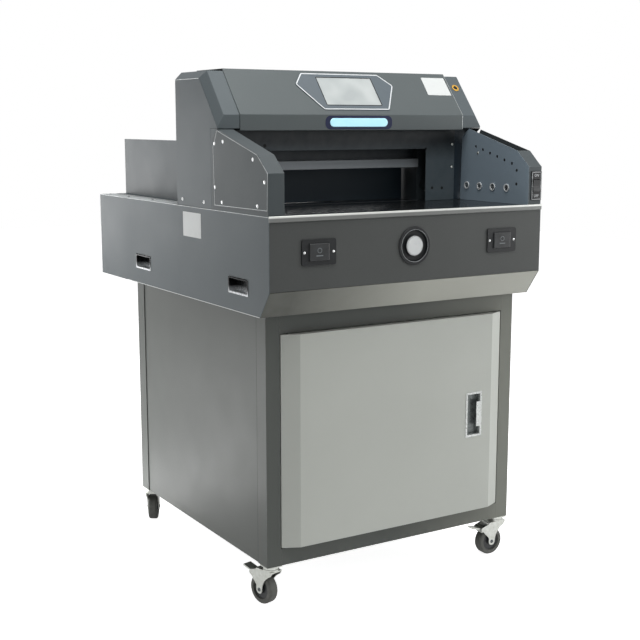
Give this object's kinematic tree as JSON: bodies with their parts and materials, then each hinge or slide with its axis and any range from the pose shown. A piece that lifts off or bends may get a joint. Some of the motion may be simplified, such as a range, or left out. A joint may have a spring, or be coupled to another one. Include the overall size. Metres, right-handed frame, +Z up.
{
  "type": "electric paper cutter",
  "caption": "Floor-standing electric guillotine for paper: a cutting head with clamp, leaning knife and screen on a deep steel bed, over a cabinet with a door and swivel casters.",
  "frame": {"origin": "centre of the whole machine's outline, on the floor", "axes": "+X to the machine's right, +Y from the front towards the back, +Z up"},
  "size_m": [0.802, 1.036, 1.292],
  "materials": {
    "body_paint": "metallic dark grey enamel with a soft sheen",
    "cabinet_paint": "dark grey powder coat",
    "door_paint": "light silver grey enamel",
    "chrome": "bright plating",
    "zinc_steel": "zinc plated",
    "dark_steel": "dark machined casting",
    "satin_band": "satin band",
    "brushed_steel": "brushed",
    "table_steel": "polished dark plate",
    "clamp_steel": "dark enamel",
    "blade_steel": "ground tool steel",
    "brass": "machined",
    "nylon_dark": "moulded nylon, dark grey",
    "black_plastic": "moulded ABS",
    "motor_grey": "motor enamel",
    "panel_grey": "printed film panel",
    "screen_glass": "display glass, lit pale grey",
    "light_lens": "lit acrylic lens",
    "caster_tyre": "grey rubber tread"
  },
  "bodies": {
    "machine": {"cabinet_frame": "cabinet_paint", "cabinet_panels": "cabinet_paint", "door_catch": "black_plastic", "bed_frame": "dark_steel", "bed_covers": "body_paint", "carry_cups": "chrome", "front_panel": "body_paint", "front_bevel": "satin_band", "rear_panel": "body_paint", "power_inlet": "black_plastic", "front_table": "table_steel", "table_lip": "brushed_steel", "cutting_stick": "nylon_dark", "rear_table": "table_steel", "rear_guards": "body_paint", "uprights": "dark_steel", "crossbeam": "dark_steel", "front_plate": "body_paint", "hood_cover": "body_paint", "hood_rear_cover": "body_paint", "end_caps": "body_paint", "screen_panel": "panel_grey", "screen_glass": "screen_glass", "light_bar": "light_lens", "knife_gearmotor": "motor_grey", "clamp_gearbox": "motor_grey", "gauge_rails": "zinc_steel", "gauge_supports": "dark_steel", "gauge_motor": "motor_grey", "button_housings": "black_plastic", "side_guards": "body_paint", "switch_frame": "black_plastic", "caster_plates": "zinc_steel"},
    "door": {"door": "door_paint", "door_pull": "chrome"},
    "knife": {"knife_carrier": "dark_steel", "knife_blade": "blade_steel", "knife_sliders": "brass", "pull_rod": "dark_steel"},
    "crank": {"crank": "dark_steel"},
    "clamp": {"clamp_beam": "clamp_steel"},
    "clamp_screw": {"clamp_screw": "zinc_steel"},
    "backgauge": {"gauge_fence": "clamp_steel", "gauge_carriage": "dark_steel"},
    "gauge_screw": {"gauge_screw": "zinc_steel"},
    "jog_wheel": {"wheel_rim": "black_plastic", "wheel_cap": "chrome"},
    "button_left": {"cut_button_left": "black_plastic"},
    "button_right": {"cut_button_right": "black_plastic"},
    "power_rocker": {"power_rocker": "black_plastic"},
    "swivel_front_left": {"fork_front_left": "zinc_steel"},
    "roller_front_left": {"wheel_front_left": "caster_tyre"},
    "pedal_front_left": {"brake_front_left": "zinc_steel"},
    "swivel_front_right": {"fork_front_right": "zinc_steel"},
    "roller_front_right": {"wheel_front_right": "caster_tyre"},
    "pedal_front_right": {"brake_front_right": "zinc_steel"},
    "swivel_rear_left": {"fork_rear_left": "zinc_steel"},
    "roller_rear_left": {"wheel_rear_left": "caster_tyre"},
    "swivel_rear_right": {"fork_rear_right": "zinc_steel"},
    "roller_rear_right": {"wheel_rear_right": "caster_tyre"}
  },
  "joints": [
    {"name": "door_hinge", "type": "hinge", "parent": "machine", "child": "door", "pos_m": [-0.312, -0.4405, 0.1485], "axis": [0, 0, 1], "range_deg": [-110, 0]},
    {"name": "knife_slide", "type": "slide", "parent": "machine", "child": "knife", "axis": [-0.2668, 0, -0.9638], "range_m": [0, 0.14993]},
    {"name": "crank_turn", "type": "hinge", "parent": "machine", "child": "crank", "pos_m": [0.28, -0.1835, 0.832], "axis": [0, 1, 0], "range_deg": [-0.5, 181]},
    {"name": "clamp_slide", "type": "slide", "parent": "machine", "child": "clamp", "axis": [0, 0, 1], "range_m": [-0.085, 0]},
    {"name": "clamp_screw_turn", "type": "hinge", "parent": "machine", "child": "clamp_screw", "pos_m": [0, -0.1605, 1.1], "axis": [0, 0, 1], "range_deg": [-3075, 10]},
    {"name": "backgauge_slide", "type": "slide", "parent": "machine", "child": "backgauge", "axis": [0, 1, 0], "range_m": [-0.02, 0.424]},
    {"name": "gauge_screw_turn", "type": "hinge", "parent": "machine", "child": "gauge_screw", "pos_m": [0, 0.0865, 0.9], "axis": [0, 1, 0], "range_deg": [-735, 15280]},
    {"name": "jog_wheel_spin", "type": "hinge", "parent": "machine", "child": "jog_wheel", "pos_m": [0, -0.5235, 0.869], "axis": [0, 1, 0], "continuous": true},
    {"name": "button_left_press", "type": "slide", "parent": "machine", "child": "button_left", "axis": [0, 1, 0], "range_m": [0, 0.003], "stiffness_N_per_m": 800, "springref_m": -0.002},
    {"name": "button_right_press", "type": "slide", "parent": "machine", "child": "button_right", "axis": [0, 1, 0], "range_m": [0, 0.003], "stiffness_N_per_m": 800, "springref_m": -0.002},
    {"name": "rocker_tilt", "type": "hinge", "parent": "machine", "child": "power_rocker", "pos_m": [0.383, -0.5115, 1.002], "axis": [1, 0, 0], "range_deg": [-8, 8]},
    {"name": "swivel_front_left", "type": "hinge", "parent": "machine", "child": "swivel_front_left", "pos_m": [-0.351, -0.4245, 0.09], "axis": [0, 0, 1], "continuous": true},
    {"name": "roll_front_left", "type": "hinge", "parent": "swivel_front_left", "child": "roller_front_left", "pos_m": [-0.35705, -0.40024, 0.0375], "axis": [0.9703, 0.2419, 0], "continuous": true},
    {"name": "brake_front_left", "type": "hinge", "parent": "swivel_front_left", "child": "pedal_front_left", "pos_m": [-0.3642, -0.37157, 0.07532], "axis": [0.9703, 0.2419, 0], "range_deg": [-20, 0]},
    {"name": "swivel_front_right", "type": "hinge", "parent": "machine", "child": "swivel_front_right", "pos_m": [0.351, -0.4245, 0.09], "axis": [0, 0, 1], "continuous": true},
    {"name": "roll_front_right", "type": "hinge", "parent": "swivel_front_right", "child": "roller_front_right", "pos_m": [0.326, -0.4245, 0.0375], "axis": [0, 1, 0], "continuous": true},
    {"name": "brake_front_right", "type": "hinge", "parent": "swivel_front_right", "child": "pedal_front_right", "pos_m": [0.29645, -0.4245, 0.07532], "axis": [0, 1, 0], "range_deg": [-20, 0]},
    {"name": "swivel_rear_left", "type": "hinge", "parent": "machine", "child": "swivel_rear_left", "pos_m": [-0.351, 0.2945, 0.09], "axis": [0, 0, 1], "continuous": true},
    {"name": "roll_rear_left", "type": "hinge", "parent": "swivel_rear_left", "child": "roller_rear_left", "pos_m": [-0.3385, 0.31615, 0.0375], "axis": [0.866, -0.5, 0], "continuous": true},
    {"name": "swivel_rear_right", "type": "hinge", "parent": "machine", "child": "swivel_rear_right", "pos_m": [0.351, 0.2945, 0.09], "axis": [0, 0, 1], "continuous": true},
    {"name": "roll_rear_right", "type": "hinge", "parent": "swivel_rear_right", "child": "roller_rear_right", "pos_m": [0.35747, 0.31865, 0.0375], "axis": [0.9659, -0.2588, 0], "continuous": true}
  ],
  "couplings": [
    {"joint": "crank_turn", "follows": "knife_slide", "rad_per_m": 20.953},
    {"joint": "clamp_screw_turn", "follows": "clamp_slide", "rad_per_m": 628.32},
    {"joint": "gauge_screw_turn", "follows": "backgauge_slide", "rad_per_m": 628.32}
  ]
}
